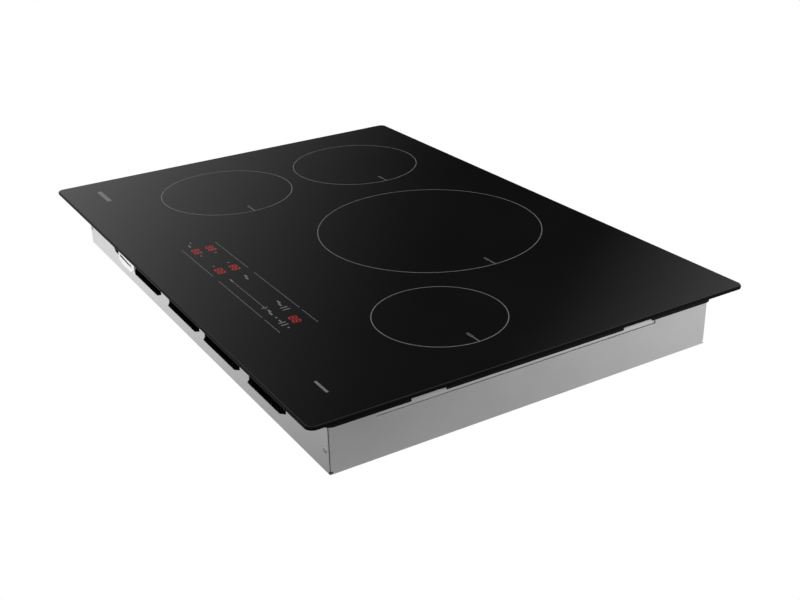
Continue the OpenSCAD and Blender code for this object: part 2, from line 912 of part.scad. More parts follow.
module mains_wires() {
    z = mains_run_z;
    edge_x = filter_at[0] + filter_size[0];
    end_y = -100;
    color([0.55, 0.12, 0.1])
        for (i = [0, 1]) {
            wire([[inlet_x - 14 + i * 28, terminal_y, z], [inlet_x - 14 + i * 28, 172, z],
                  [inlet_x - 14 + i * 28, 172, board_z1]], mains_wire_r);
            wire_run(edge_x - 8, 100 + i * wire_pitch, -212 + i * 6, board_left_at[0] + 6,
                     end_y + i * wire_pitch);
        }
    color([0.1, 0.2, 0.5])
        for (i = [0, 1])
            wire_run(edge_x - 8, 130 + i * wire_pitch, 38 + i * 6, board_right_at[0] + 6,
                     end_y + i * wire_pitch);
}

// Two leads from a board up to a plug under each coil
module coil_lead(z, from) {
    x = z[0] + z[2] * plug_at;
    run_z = tray_z0 - 4.5;
    for (dy = [-4, 4])
        wire([[from[0], from[1] + dy, board_z1], [from[0], from[1] + dy, run_z],
              [x, z[1] + dy, run_z], [x, z[1] + dy, tray_z1 + 1]], coil_lead_r);
    block(x - plug[0] / 2, z[1] - plug[1] / 2, tray_z1, plug);
}

module coil_wires() {
    color([0.8, 0.8, 0.78]) {
        coil_lead(zone_front_left, at_left([50, 24]));
        coil_lead(zone_rear_left, at_left([50, 155]));
        coil_lead(zone_centre, at_right([50, 155]));
        coil_lead(zone_right, at_right([163, 155]));
    }
}

base_pan();
coil_tray();
glass_frame();
glass_bond();
rim_seal();
glass_top();
winding(zone_front_left);  // winding_front_left
winding(zone_rear_left);  // winding_rear_left
winding(zone_centre);  // winding_centre
winding(zone_right);  // winding_right
carrier(zone_front_left);  // carrier_front_left
carrier(zone_rear_left);  // carrier_rear_left
carrier(zone_centre);  // carrier_centre
carrier(zone_right);  // carrier_right
ferrites(zone_front_left);  // ferrites_front_left
ferrites(zone_rear_left);  // ferrites_rear_left
ferrites(zone_centre);  // ferrites_centre
ferrites(zone_right);  // ferrites_right
mica(zone_front_left);  // mica_front_left
mica(zone_rear_left);  // mica_rear_left
mica(zone_centre);  // mica_centre
mica(zone_right);  // mica_right
sensor(zone_front_left);  // sensor_front_left
sensor(zone_rear_left);  // sensor_rear_left
sensor(zone_centre);  // sensor_centre
sensor(zone_right);  // sensor_right
springs(zone_front_left);  // springs_front_left
springs(zone_rear_left);  // springs_rear_left
springs(zone_centre);  // springs_centre
springs(zone_right);  // springs_right
circuit_board(board_left_at, board_size);  // power_board_left
circuit_board(board_right_at, board_size);  // power_board_right
heatsink(board_left_at);  // heatsink_left
heatsink(board_right_at);  // heatsink_right
power_devices(board_left_at);  // power_devices_left
power_devices(board_right_at);  // power_devices_right
capacitors(board_left_at);  // capacitors_left
capacitors(board_right_at);  // capacitors_right
chokes(board_left_at);  // chokes_left
chokes(board_right_at);  // chokes_right
circuit_board(filter_at, filter_size);  // filter_board
filter_parts();
blower_housing(board_left_at[0] + board_size[0] / 2);  // blower_housing_left
blower_housing(board_right_at[0] + board_size[0] / 2);  // blower_housing_right
blower_rotor(board_left_at[0] + board_size[0] / 2);  // blower_rotor_left
blower_rotor(board_right_at[0] + board_size[0] / 2);  // blower_rotor_right
control_holder();
control_board();
digit_displays();
touch_springs();
ribbon_cable();
terminal_block();
conduit_plate();
air_grille();
front_bracket();
case_rivets();
tray_screws();
board_spacers();
mains_wires();
coil_wires();
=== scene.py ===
"""Looks for the electric induction cooktop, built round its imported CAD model."""

import math

import bmesh
import bpy
from mathutils import Euler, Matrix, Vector


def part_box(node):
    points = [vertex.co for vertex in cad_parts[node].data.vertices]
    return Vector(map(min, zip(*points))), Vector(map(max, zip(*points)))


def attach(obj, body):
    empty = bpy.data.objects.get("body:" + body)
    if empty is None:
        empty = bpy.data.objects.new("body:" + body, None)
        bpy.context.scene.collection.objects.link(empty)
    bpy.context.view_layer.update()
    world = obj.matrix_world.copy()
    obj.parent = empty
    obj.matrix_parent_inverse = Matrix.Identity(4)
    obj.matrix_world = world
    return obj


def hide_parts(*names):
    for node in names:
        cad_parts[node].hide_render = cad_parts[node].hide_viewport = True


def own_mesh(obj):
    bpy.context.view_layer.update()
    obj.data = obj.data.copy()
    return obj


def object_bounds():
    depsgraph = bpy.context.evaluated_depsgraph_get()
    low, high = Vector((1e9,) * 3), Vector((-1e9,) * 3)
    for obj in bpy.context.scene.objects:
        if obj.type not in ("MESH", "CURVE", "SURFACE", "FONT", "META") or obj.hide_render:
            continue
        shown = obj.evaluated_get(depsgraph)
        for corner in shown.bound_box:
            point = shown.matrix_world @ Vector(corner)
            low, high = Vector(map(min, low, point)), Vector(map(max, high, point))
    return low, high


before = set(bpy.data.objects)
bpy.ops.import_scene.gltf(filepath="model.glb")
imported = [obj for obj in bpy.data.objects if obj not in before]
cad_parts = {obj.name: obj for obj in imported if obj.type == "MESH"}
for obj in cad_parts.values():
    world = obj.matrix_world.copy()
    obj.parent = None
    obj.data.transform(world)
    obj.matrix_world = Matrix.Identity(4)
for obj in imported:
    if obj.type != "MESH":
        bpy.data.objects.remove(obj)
cad_low, cad_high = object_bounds()

MM = 0.001
ZONES = ("front_left", "rear_left", "centre", "right")
SIDES = ("left", "right")

glass_low, glass_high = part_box("glass_top")
# The ink lies inside the CAD's height, so the bare glass ends a little lower
INK_T = 0.05 * MM
GLASS_TOP = glass_high.z - INK_T
UP = Vector((0, 0, 1))


# ---------- node helpers ----------

def put(tree, kind, inputs=None, **settings):
    """A new shader node with its settings and inputs; an input may be a value or another socket."""
    made = tree.nodes.new(kind)
    for key, value in settings.items():
        setattr(made, key, value)
    for key, value in (inputs or {}).items():
        if isinstance(value, bpy.types.NodeSocket):
            tree.links.new(value, made.inputs[key])
        else:
            made.inputs[key].default_value = value
    return made


def math_node(tree, operation, a, b=0.0):
    return put(tree, "ShaderNodeMath", {0: a, 1: b}, operation=operation).outputs[0]


def ramp(tree, fac, stops):
    """A colour ramp through (position, grey or colour) stops."""
    made = put(tree, "ShaderNodeValToRGB", {"Fac": fac})
    elements = made.color_ramp.elements
    while len(elements) < len(stops):
        elements.new(0.5)
    for element, (position, colour) in zip(elements, stops):
        element.position = position
        rgb = (colour,) * 3 if isinstance(colour, (int, float)) else colour
        element.color = (*rgb, 1.0)
    return made.outputs["Color"]


def place(tree, scale=(1, 1, 1)):
    """Object coordinates in metres, scaled along each axis for a grain."""
    coords = put(tree, "ShaderNodeTexCoord").outputs["Object"]
    return put(tree, "ShaderNodeMapping", {"Vector": coords, "Scale": scale}).outputs[0]


def noise(tree, vector, scale, detail=3.0, rough=0.55):
    inputs = {"Vector": vector, "Scale": scale, "Detail": detail, "Roughness": rough}
    return put(tree, "ShaderNodeTexNoise", inputs).outputs["Fac"]


def voronoi(tree, vector, scale, output="Distance"):
    return put(tree, "ShaderNodeTexVoronoi", {"Vector": vector, "Scale": scale}).outputs[output]


def between(tree, value, low, high):
    """Maps 0..1 onto low..high."""
    return put(tree, "ShaderNodeMapRange", {"Value": value, "To Min": low, "To Max": high}).outputs[0]


def bump(tree, height, distance, strength):
    inputs = {"Height": height, "Distance": distance, "Strength": strength}
    return put(tree, "ShaderNodeBump", inputs).outputs[0]


def new_material(name, inputs=None):
    """A material, its tree and its shader, with the shader's plain inputs set."""
    made = bpy.data.materials.new(name)
    made.use_nodes = True
    tree = made.node_tree
    shader = next(n for n in tree.nodes if n.type == "BSDF_PRINCIPLED")
    for key, value in (inputs or {}).items():
        shader.inputs[key].default_value = value
    return made, tree, shader


def link(tree, socket, shader, name):
    tree.links.new(socket, shader.inputs[name])


def shades(colour, darker, lighter):
    """A colour scaled down and up, for the two ends of a ramp."""
    return tuple(c * darker for c in colour), tuple(min(1, c * lighter) for c in colour)


# Painted shade in crevices: how near other surfaces count, the open share between which the painted
# shade fades, and its darkest
PAINTED_SHADE_REACH = 6.0 * MM
PAINTED_SHADE_FADE = (0.18, 0.5)
PAINTED_SHADE_DARKEST = 0.03


def crevice_painted_shade(tree, colour):
    """Paints shade into a colour where other surfaces crowd in, darkening seams and creases."""
    open_sky = put(tree, "ShaderNodeAmbientOcclusion", {"Distance": PAINTED_SHADE_REACH}, samples=8)
    share = put(tree, "ShaderNodeMapRange", {
        "Value": open_sky.outputs["AO"], "From Min": PAINTED_SHADE_FADE[0], "From Max": PAINTED_SHADE_FADE[1],
        "To Min": PAINTED_SHADE_DARKEST, "To Max": 1.0}).outputs[0]
    painted_shade = put(tree, "ShaderNodeCombineColor", {0: share, 1: share, 2: share}).outputs[0]
    return put(tree, "ShaderNodeMix", {0: 1.0, 6: colour, 7: painted_shade}, data_type="RGBA",
               blend_type="MULTIPLY").outputs[2]


# ---------- materials ----------

def black_glass():
    """Polished glass-ceramic with the faintest smears in its gloss."""
    made, tree, shader = new_material("black_glass", {"IOR": 1.52})
    cloud = noise(tree, place(tree), 9.0, 4.0)
    link(tree, ramp(tree, cloud, [(0.3, (0.0048, 0.0048, 0.0051)), (0.8, (0.0058, 0.0058, 0.0061))]),
         shader, "Base Color")
    streak = noise(tree, place(tree, (1, 0.25, 1)), 14.0, 5.0)
    link(tree, between(tree, streak, 0.035, 0.075), shader, "Roughness")
    return made


def ground_edge(name, gloss):
    """The glass's edge, ground dull by the wheel, with marks that run along it."""
    made, tree, shader = new_material(name, {"IOR": 1.5, "Specular IOR Level": gloss})
    marks = noise(tree, place(tree, (1, 1, 30)), 900.0, 3.0)
    link(tree, ramp(tree, marks, [(0.3, 0.0015), (0.75, 0.004)]), shader, "Base Color")
    link(tree, between(tree, marks, 0.35, 0.6), shader, "Roughness")
    link(tree, bump(tree, marks, 0.01 * MM, 0.5), shader, "Normal")
    return made


def fired_ink():
    """Grey ceramic ink fired on the glass."""
    made, tree, shader = new_material("ink_grey", {"IOR": 1.5})
    grain = noise(tree, place(tree), 2600.0, 2.0)
    dark, light = shades((0.118, 0.118, 0.121), 0.88, 1.12)
    link(tree, ramp(tree, grain, [(0.3, dark), (0.7, light)]), shader, "Base Color")
    link(tree, between(tree, grain, 0.3, 0.45), shader, "Roughness")
    link(tree, bump(tree, grain, 0.01 * MM, 0.4), shader, "Normal")
    return made


def lit_digit():
    """Red light of a display through the glass, a little uneven along each segment."""
    made, tree, shader = new_material("lit_digit", {"Base Color": (0.2, 0.01, 0.01, 1)})
    grain = noise(tree, place(tree), 700.0, 2.0)
    link(tree, ramp(tree, grain, [(0.25, (0.75, 0.03, 0.045)), (0.75, (1.0, 0.08, 0.09))]),
         shader, "Emission Color")
    link(tree, between(tree, grain, 0.15, 0.22), shader, "Emission Strength")
    link(tree, between(tree, grain, 0.12, 0.2), shader, "Roughness")
    return made


def sheet_metal(name, colour, rough, spread, grain_scale=(3, 3, 260)):
    """Rolled or plated sheet or drawn wire: a fine grain and soft cloudy patches, with painted shade
    darkening its crevices.
    """
    made, tree, shader = new_material(name, {"Metallic": 1.0})
    grain = noise(tree, place(tree, grain_scale), 14.0, 6.0, 0.62)
    cloud = noise(tree, place(tree), 22.0, 4.0)
    mixed = math_node(tree, "ADD", math_node(tree, "MULTIPLY", grain, 0.6),
                      math_node(tree, "MULTIPLY", cloud, 0.4))
    dark, light = shades(colour, 1 - spread, 1 + spread)
    mottled = ramp(tree, mixed, [(0.3, dark), (0.7, light)])
    # Painted shade: the base colour is darkened where other surfaces are near, in seams and creases
    link(tree, crevice_painted_shade(tree, mottled), shader, "Base Color")
    link(tree, between(tree, mixed, *rough), shader, "Roughness")
    link(tree, bump(tree, grain, 0.02 * MM, 0.35), shader, "Normal")
    return made


def moulded(name, colour, rough, texture=0.05, scale=900.0, gloss=0.5):
    """Moulded plastic or paint with a fine eggshell texture, its depth in millimetres."""
    made, tree, shader = new_material(name, {"Specular IOR Level": gloss})
    fine = noise(tree, place(tree), scale, 3.0)
    cloud = noise(tree, place(tree), 40.0, 3.0)
    dark, light = shades(colour, 0.82, 1.15)
    link(tree, ramp(tree, cloud, [(0.3, dark), (0.7, light)]), shader, "Base Color")
    link(tree, between(tree, fine, *rough), shader, "Roughness")
    link(tree, bump(tree, fine, texture * MM, 0.5), shader, "Normal")
    return made


def foam():
    """Closed-cell foam strip."""
    made, tree, shader = new_material("foam", {"Roughness": 0.9})
    cells = voronoi(tree, place(tree), 1400.0)
    link(tree, ramp(tree, cells, [(0.0, 0.012), (0.7, 0.03)]), shader, "Base Color")
    link(tree, bump(tree, cells, 0.15 * MM, 0.8), shader, "Normal")
    return made


def litz():
    """Enamelled copper strands, with dark gaps between them."""
    made, tree, shader = new_material("litz", {"Metallic": 0.85})
    strands = noise(tree, place(tree, (1, 1, 3)), 900.0, 4.0, 0.7)
    link(tree, ramp(tree, strands, [(0.3, (0.28, 0.09, 0.03)), (0.7, (0.72, 0.3, 0.12))]),
         shader, "Base Color")
    link(tree, between(tree, strands, 0.28, 0.5), shader, "Roughness")
    link(tree, bump(tree, strands, 0.12 * MM, 0.7), shader, "Normal")
    return made


def sintered():
    """Dark ferrite with pale specks."""
    made, tree, shader = new_material("sintered")
    specks = voronoi(tree, place(tree), 1600.0)
    cloud = noise(tree, place(tree), 160.0)
    link(tree, ramp(tree, specks, [(0.05, 0.16), (0.2, 0.055), (1.0, 0.035)]), shader, "Base Color")
    link(tree, between(tree, cloud, 0.5, 0.75), shader, "Roughness")
    link(tree, bump(tree, specks, 0.05 * MM, 0.5), shader, "Normal")
    return made


def flaky():
    """Laminated mica with pearly flakes."""
    made, tree, shader = new_material("flaky")
    flakes = voronoi(tree, place(tree, (1, 1, 4)), 260.0, "Color")
    patch = put(tree, "ShaderNodeSeparateColor", {"Color": flakes}).outputs[0]
    link(tree, ramp(tree, patch, [(0.0, (0.46, 0.38, 0.24)), (1.0, (0.68, 0.62, 0.46))]),
         shader, "Base Color")
    link(tree, between(tree, patch, 0.25, 0.5), shader, "Roughness")
    link(tree, bump(tree, patch, 0.04 * MM, 0.5), shader, "Normal")
    return made


def circuit():
    """Green solder mask over copper tracks, with tinned pads."""
    made, tree, shader = new_material("circuit")
    tracks = put(tree, "ShaderNodeTexBrick", {
        "Vector": place(tree), "Scale": 90.0, "Mortar Size": 0.035, "Color1": (0.012, 0.11, 0.045, 1),
        "Color2": (0.014, 0.13, 0.05, 1), "Mortar": (0.03, 0.24, 0.09, 1)})
    pads = voronoi(tree, place(tree), 240.0)
    pad_mask = ramp(tree, pads, [(0.12, 1.0), (0.17, 0.0)])
    tinned = put(tree, "ShaderNodeMix", {
        0: pad_mask, 6: tracks.outputs["Color"], 7: (0.62, 0.6, 0.55, 1)}, data_type="RGBA")
    link(tree, tinned.outputs[2], shader, "Base Color")
    link(tree, between(tree, pad_mask, 0.35, 0.22), shader, "Roughness")
    link(tree, bump(tree, tracks.outputs["Fac"], 0.06 * MM, 0.6), shader, "Normal")
    return made


def braided(name, colour):
    """Woven sleeve over a wire."""
    made, tree, shader = new_material(name, {"Roughness": 0.7})
    weave = put(tree, "ShaderNodeTexChecker", {"Vector": place(tree), "Scale": 1800.0}).outputs["Fac"]
    fibres = noise(tree, place(tree), 3000.0)
    mixed = math_node(tree, "MULTIPLY", math_node(tree, "ADD", weave, fibres), 0.5)
    dark = tuple(c * 0.6 for c in colour)
    link(tree, ramp(tree, mixed, [(0.1, dark), (0.8, colour)]), shader, "Base Color")
    link(tree, bump(tree, mixed, 0.08 * MM, 0.7), shader, "Normal")
    return made


def ribbed_ribbon():
    """Flat cable: one pale ridge for each wire."""
    made, tree, shader = new_material("ribbed_ribbon", {"Roughness": 0.45})
    wires = put(tree, "ShaderNodeTexWave", {"Vector": place(tree), "Scale": 260.0, "Distortion": 0.0},
                bands_direction="Y").outputs["Fac"]
    link(tree, ramp(tree, wires, [(0.1, 0.22), (0.7, 0.5)]), shader, "Base Color")
    link(tree, bump(tree, wires, 0.3 * MM, 0.8), shader, "Normal")
    return made


MATERIALS = {
    "glass": black_glass(),
    "edge": ground_edge("ground_edge", 0.03),
    "bevel": ground_edge("ground_bevel", 0.24),
    "zinc": sheet_metal("zinc_sheet", (0.62, 0.62, 0.622), (0.42, 0.56), 0.05),
    "bright": sheet_metal("bright_zinc", (0.8, 0.8, 0.805), (0.3, 0.42), 0.12, (14, 14, 60)),
    "tray": sheet_metal("tray_aluminium", (0.74, 0.74, 0.75), (0.38, 0.5), 0.04, (220, 3, 3)),
    "aluminium": sheet_metal("aluminium", (0.66, 0.67, 0.69), (0.3, 0.45), 0.06, (220, 3, 3)),
    "rivet": sheet_metal("rivet_steel", (0.34, 0.34, 0.35), (0.45, 0.6), 0.08, (40, 40, 40)),
    "spring_steel": sheet_metal("spring_steel", (0.5, 0.5, 0.52), (0.22, 0.38), 0.1, (40, 40, 40)),
    "black_paint": moulded("black_paint", (0.004, 0.004, 0.0045), (0.5, 0.65), gloss=0.08),
    "grille": moulded("grille_black", (0.0008, 0.0008, 0.0008), (0.8, 0.95), gloss=0.0),
    "black_plastic": moulded("black_plastic", (0.012, 0.012, 0.013), (0.4, 0.55)),
    "white_plastic": moulded("white_plastic", (0.68, 0.67, 0.62), (0.35, 0.5)),
    "carrier": moulded("carrier_plastic", (0.6, 0.58, 0.5), (0.5, 0.65), 0.08, 500.0),
    "ceramic": moulded("glazed_ceramic", (0.74, 0.73, 0.69), (0.12, 0.2), 0.02),
    "silicone": moulded("silicone", (0.02, 0.02, 0.02), (0.5, 0.7), 0.06, 300.0),
    "component": moulded("component_black", (0.016, 0.016, 0.018), (0.25, 0.4)),
    "film": moulded("film_yellow", (0.6, 0.36, 0.04), (0.2, 0.35)),
    "lens": moulded("display_lens", (0.16, 0.008, 0.008), (0.12, 0.22), 0.01),
    "foam": foam(),
    "litz": litz(),
    "ferrite": sintered(),
    "mica": flaky(),
    "circuit": circuit(),
    "ribbon": ribbed_ribbon(),
    "wire_red": braided("wire_red", (0.42, 0.03, 0.02)),
    "wire_white": braided("wire_white", (0.75, 0.74, 0.7)),
    "ink": fired_ink(),
    "lit": lit_digit(),
}

CAD_LOOKS = {
    "base_pan": "zinc", "coil_tray": "tray", "glass_frame": "black_paint", "glass_bond": "silicone",
    "rim_seal": "foam", "filter_board": "circuit", "filter_parts": "component",
    "control_holder": "black_plastic", "control_board": "circuit", "digit_displays": "lens",
    "touch_springs": "spring_steel", "ribbon_cable": "ribbon", "terminal_block": "white_plastic",
    "conduit_plate": "zinc", "air_grille": "grille", "front_bracket": "bright",
    "case_rivets": "rivet", "tray_screws": "bright", "board_spacers": "white_plastic",
    "mains_wires": "wire_red", "coil_wires": "wire_white",
}
for zone in ZONES:
    CAD_LOOKS.update({
        f"winding_{zone}": "litz", f"carrier_{zone}": "carrier", f"ferrites_{zone}": "ferrite",
        f"mica_{zone}": "mica", f"sensor_{zone}": "ceramic", f"springs_{zone}": "spring_steel"})
for side in SIDES:
    CAD_LOOKS.update({
        f"power_board_{side}": "circuit", f"heatsink_{side}": "aluminium",
        f"power_devices_{side}": "component", f"capacitors_{side}": "film", f"chokes_{side}": "litz",
        f"blower_housing_{side}": "black_plastic", f"blower_rotor_{side}": "black_plastic"})


def dress(piece, look):
    piece.data.materials.clear()
    piece.data.materials.append(MATERIALS[look])


for node_name, look in CAD_LOOKS.items():
    dress(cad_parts[node_name], look)


# ---------- mesh helpers ----------

def piece_from(mesh, name, look, body="case"):
    """A piece from a bmesh, wearing a look and riding on a body."""
    bmesh.ops.recalc_face_normals(mesh, faces=mesh.faces)
    data = bpy.data.meshes.new(name)
    mesh.to_mesh(data)
    mesh.free()
    made = bpy.data.objects.new(name, data)
    bpy.context.scene.collection.objects.link(made)
    dress(made, look)
    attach(made, body)
    return made


CORNER_STEPS = 24


def rounded_outline(half_x, half_y, radius):
    """Points round a rectangle with round corners, counter-clockwise from its front right one."""
    points = []
    for k, (sx, sy) in enumerate(((1, -1), (1, 1), (-1, 1), (-1, -1))):
        for i in range(CORNER_STEPS + 1):
            turn = math.radians(-90 + 90 * k + 90 * i / CORNER_STEPS)
            points.append((sx * (half_x - radius) + radius * math.cos(turn),
                           sy * (half_y - radius) + radius * math.sin(turn)))
    return points


def loft(mesh, rings):
    """Skins rings of equally many points, and closes the first and last."""
    rows = [[mesh.verts.new(p) for p in ring] for ring in rings]
    for low, high in zip(rows, rows[1:]):
        count = len(low)
        for i in range(count):
            j = (i + 1) % count
            mesh.faces.new((low[i], low[j], high[j], high[i]))
    mesh.faces.new(list(reversed(rows[0])))
    mesh.faces.new(rows[-1])


def slab(mesh, points, z0, z1):
    """A flat outline made into a thin solid."""
    loft(mesh, [[(x, y, z0) for x, y in points], [(x, y, z1) for x, y in points]])


def bar(mesh, x0, y0, x1, y1, width, z0, z1):
    """A straight printed line from one point to another."""
    along = Vector((x1 - x0, y1 - y0)).normalized() * 0.5 * width
    across = Vector((-along.y, along.x))
    corners = [(x0 - across.x, y0 - across.y), (x1 - across.x, y1 - across.y),
               (x1 + across.x, y1 + across.y), (x0 + across.x, y0 + across.y)]
    slab(mesh, corners, z0, z1)


BAND_STEPS = 160


def band(mesh, centre, radius, width, z0, z1):
    """A flat ring as a thin solid."""
    rows = []
    for i in range(BAND_STEPS):
        turn = math.radians(360.0 * i / BAND_STEPS)
        c, s = math.cos(turn), math.sin(turn)
        rows.append([mesh.verts.new((centre[0] + r * c, centre[1] + r * s, z))
                     for r, z in ((radius - width / 2, z0), (radius + width / 2, z0),
                                  (radius + width / 2, z1), (radius - width / 2, z1))])
    for a, b in zip(rows, rows[1:] + rows[:1]):
        for i in range(4):
            j = (i + 1) % 4
            mesh.faces.new((a[i], a[j], b[j], b[i]))


def smooth(piece):
    for face in piece.data.polygons:
        face.use_smooth = True


# ---------- glass and its printing ----------

GLASS_CORNER_R = 9 * MM
# The edge's section in millimetres: inset and height above the underside, then inset and depth
# below the top
EDGE_FOOT = ((0.45, 0.0), (0.12, 0.12), (0.0, 0.45))
EDGE_HEAD = ((0.0, 1.35), (0.1, 1.05), (0.42, 0.62), (0.85, 0.22), (1.25, 0.04), (1.6, 0.0))
# How far up a face looks: past the first it is the flat top, past the second the bevel
FLAT_UP = 0.999
BEVEL_UP = 0.8


def glass_plate():
    """The plate with a ground, slightly rounded top edge."""
    half_x = (glass_high.x - glass_low.x) / 2
    half_y = (glass_high.y - glass_low.y) / 2
    top = (GLASS_TOP - glass_low.z) / MM
    profile = EDGE_FOOT + tuple((inset, top - depth) for inset, depth in EDGE_HEAD)
    rings = []
    for inset, height in profile:
        outline = rounded_outline(half_x - inset * MM, half_y - inset * MM, GLASS_CORNER_R - inset * MM)
        rings.append([(x, y, glass_low.z + height * MM) for x, y in outline])
    mesh = bmesh.new()
    loft(mesh, rings)
    made = piece_from(mesh, "glass_plate", "glass")
    looks = ("glass", "edge", "bevel")
    for look in looks[1:]:
        made.data.materials.append(MATERIALS[look])
    for face in made.data.polygons:
        up = face.normal.z
        look = "glass" if up > FLAT_UP else "bevel" if up > BEVEL_UP else "edge"
        face.material_index = looks.index(look)
        face.use_smooth = abs(up) < FLAT_UP
    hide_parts("glass_top")


# The line that the print's y is counted from, in millimetres in front of the glass
PRINT_SHIFT = 2


def on_glass(x, y):
    """A point of the print, in millimetres from the glass's left edge and from the print's line."""
    return glass_low.x + x * MM, glass_low.y + (y - PRINT_SHIFT) * MM


# The tick's foot is its wider inner end, as length and width
RING_W = 1.0 * MM
RING_PAST_MICA = 1 * MM
TICK_LENGTH = 22 * MM
TICK_W = 1.2 * MM
TICK_FOOT = (10 * MM, 2.8 * MM)
INK_SUNK = 0.02 * MM
PRINT_Z = (GLASS_TOP - INK_SUNK, glass_high.z)


def zone_print(zone):
    """A zone's ring, a little larger than its coil, with a tick running in from its right."""
    low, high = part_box(f"mica_{zone}")
    centre = ((low.x + high.x) / 2, (low.y + high.y) / 2)
    radius = (high.x - low.x) / 2 + RING_PAST_MICA
    mesh = bmesh.new()
    band(mesh, centre, radius, RING_W, *PRINT_Z)
    right = centre[0] + radius - RING_W / 2
    bar(mesh, right - TICK_LENGTH, centre[1], right, centre[1], TICK_W, *PRINT_Z)
    left = right - TICK_LENGTH
    bar(mesh, left, centre[1], left + TICK_FOOT[0], centre[1], TICK_FOOT[1], *PRINT_Z)
    piece_from(mesh, f"ring_{zone}", "ink")


# The panel's print in millimetres: each line's two ends and its y, and each display's centre
LINE_W = 0.6
LINE_ROWS = (65.5, 110.0)
LINE_RUNS = ((310, 407), (423, 538), (544, 580))
SLIDER_RUN = (437, 512)
SLIDER_Y = 78.4
DIGIT_PAIRS = ((326.3, 97.3), (326.3, 78.8), (397.0, 97.1), (397.0, 78.6), (560.4, 92.7))
DIGIT_W = 6.9
DIGIT_H = 10.0
DIGIT_GAP = 2.0
SEGMENT_W = 1.4
SEGMENT_GAP = 0.25


def panel_lines():
    """The lines above and below the keys, and the slider's line between its minus and plus."""
    mesh = bmesh.new()
    for y in LINE_ROWS:
        for x0, x1 in LINE_RUNS:
            bar(mesh, *on_glass(x0, y), *on_glass(x1, y), LINE_W * MM, *PRINT_Z)
    x0, x1 = SLIDER_RUN
    bar(mesh, *on_glass(x0, SLIDER_Y), *on_glass(x1, SLIDER_Y), LINE_W * MM, *PRINT_Z)
    piece_from(mesh, "panel_lines", "ink")


def digit(mesh, x, y):
    """A lit figure eight of seven mitred segments, centred on x, y."""
    half = SEGMENT_W / 2
    half_w, half_h = DIGIT_W / 2 - half, DIGIT_H / 2 - half
    runs = [((-half_w, k * half_h), (half_w, k * half_h)) for k in (-1, 0, 1)]
    runs += [((sx * half_w, y0), (sx * half_w, y0 + half_h)) for sx in (-1, 1) for y0 in (-half_h, 0)]
    for (x0, y0), (x1, y1) in runs:
        along = Vector((x1 - x0, y1 - y0)).normalized()
        across = Vector((-along.y, along.x)) * half
        a = Vector((x0, y0)) + along * SEGMENT_GAP
        b = Vector((x1, y1)) - along * SEGMENT_GAP
        corners = [a, a + along * half - across, b - along * half - across,
                   b, b - along * half + across, a + along * half + across]
        slab(mesh, [on_glass(x + c.x, y + c.y) for c in corners], *PRINT_Z)


def displays():
    """Two lit digits in each display."""
    for i, (x, y) in enumerate(DIGIT_PAIRS):
        mesh = bmesh.new()
        for side in (-1, 1):
            digit(mesh, x + side * (DIGIT_W + DIGIT_GAP) / 2, y)
        piece_from(mesh, f"digits_{i}", "lit")


DOT_R = 1.3
DOT_SIDES = 16


def dot(mesh, x, y):
    slab(mesh, [on_glass(x + DOT_R * math.cos(a), y + DOT_R * math.sin(a))
                for a in (math.tau * i / DOT_SIDES for i in range(DOT_SIDES))], *PRINT_Z)


def stroke(mesh, x, y, length, width, turn=0.0):
    """A printed dash centred on x, y, in millimetres, turned anticlockwise by degrees."""
    half = length / 2
    dx, dy = half * math.cos(math.radians(turn)), half * math.sin(math.radians(turn))
    bar(mesh, *on_glass(x - dx, y - dy), *on_glass(x + dx, y + dy), width * MM, *PRINT_Z)


DOTS = ((342.3, 97), (342.3, 78), (379.8, 97), (380, 78), (546, 78.2), (574.6, 78.4))
# A dash's centre x and y, length, width and turn; at the slider's ends are a minus and a plus
DASHES = (
    (305.7, 77.9, 8, 1.8, 0), (297, 83, 5, 1.4, 0), (430.5, SLIDER_Y, 9, 1.8, 0),
    (517, SLIDER_Y, 7, 1.6, 0), (517, SLIDER_Y, 7, 1.6, 90), (555.5, 77.9, 5, 1.8, 0))
# Two dashes side by side, the left one higher, stand for lettering
LETTERING = ((430.9, 96.6), (515.8, 96.6), (530.8, 78.2))
LETTERING_STEP = (3.4, 0.9)
LETTERING_DASH = (7, 2.2)
# Two upright dashes make a pause sign
PAUSES = ((530.9, 96.3), (563.5, 77.9))
PAUSE_STEP = 3
PAUSE_DASH = (8.5, 1.8)
CORNER_DASHES = ((65, 50, 46, 6), (703.5, 47.5, 25, 2.9))


def key_marks():
    """Plain signs beside the touch keys: dots, a minus, a plus, pauses and short double dashes."""
    mesh = bmesh.new()
    for spot in DOTS:
        dot(mesh, *spot)
    for dash in DASHES:
        stroke(mesh, *dash)
    for x, y in LETTERING:
        for side in (-1, 1):
            stroke(mesh, x + side * LETTERING_STEP[0], y - side * LETTERING_STEP[1], *LETTERING_DASH)
    for x, y in PAUSES:
        for side in (-1, 1):
            stroke(mesh, x + side * PAUSE_STEP, y, *PAUSE_DASH, 90)
    piece_from(mesh, "key_marks", "ink")


def corner_marks():
    """Plain bars where a maker would sign the glass."""
    mesh = bmesh.new()
    for dash in CORNER_DASHES:
        stroke(mesh, *dash)
    piece_from(mesh, "corner_marks", "ink")


glass_plate()
for zone in ZONES:
    zone_print(zone)
panel_lines()
key_marks()
corner_marks()
displays()


# ---------- sheet-metal edges ----------

FOLDED = ("base_pan", "coil_tray", "glass_frame", "conduit_plate", "front_bracket", "terminal_block")
WELD_REACH = 0.001 * MM
FLAT_WITHIN = math.radians(0.2)
SHARP_PAST = math.radians(40)
SOFT_EDGE_W = 0.25 * MM


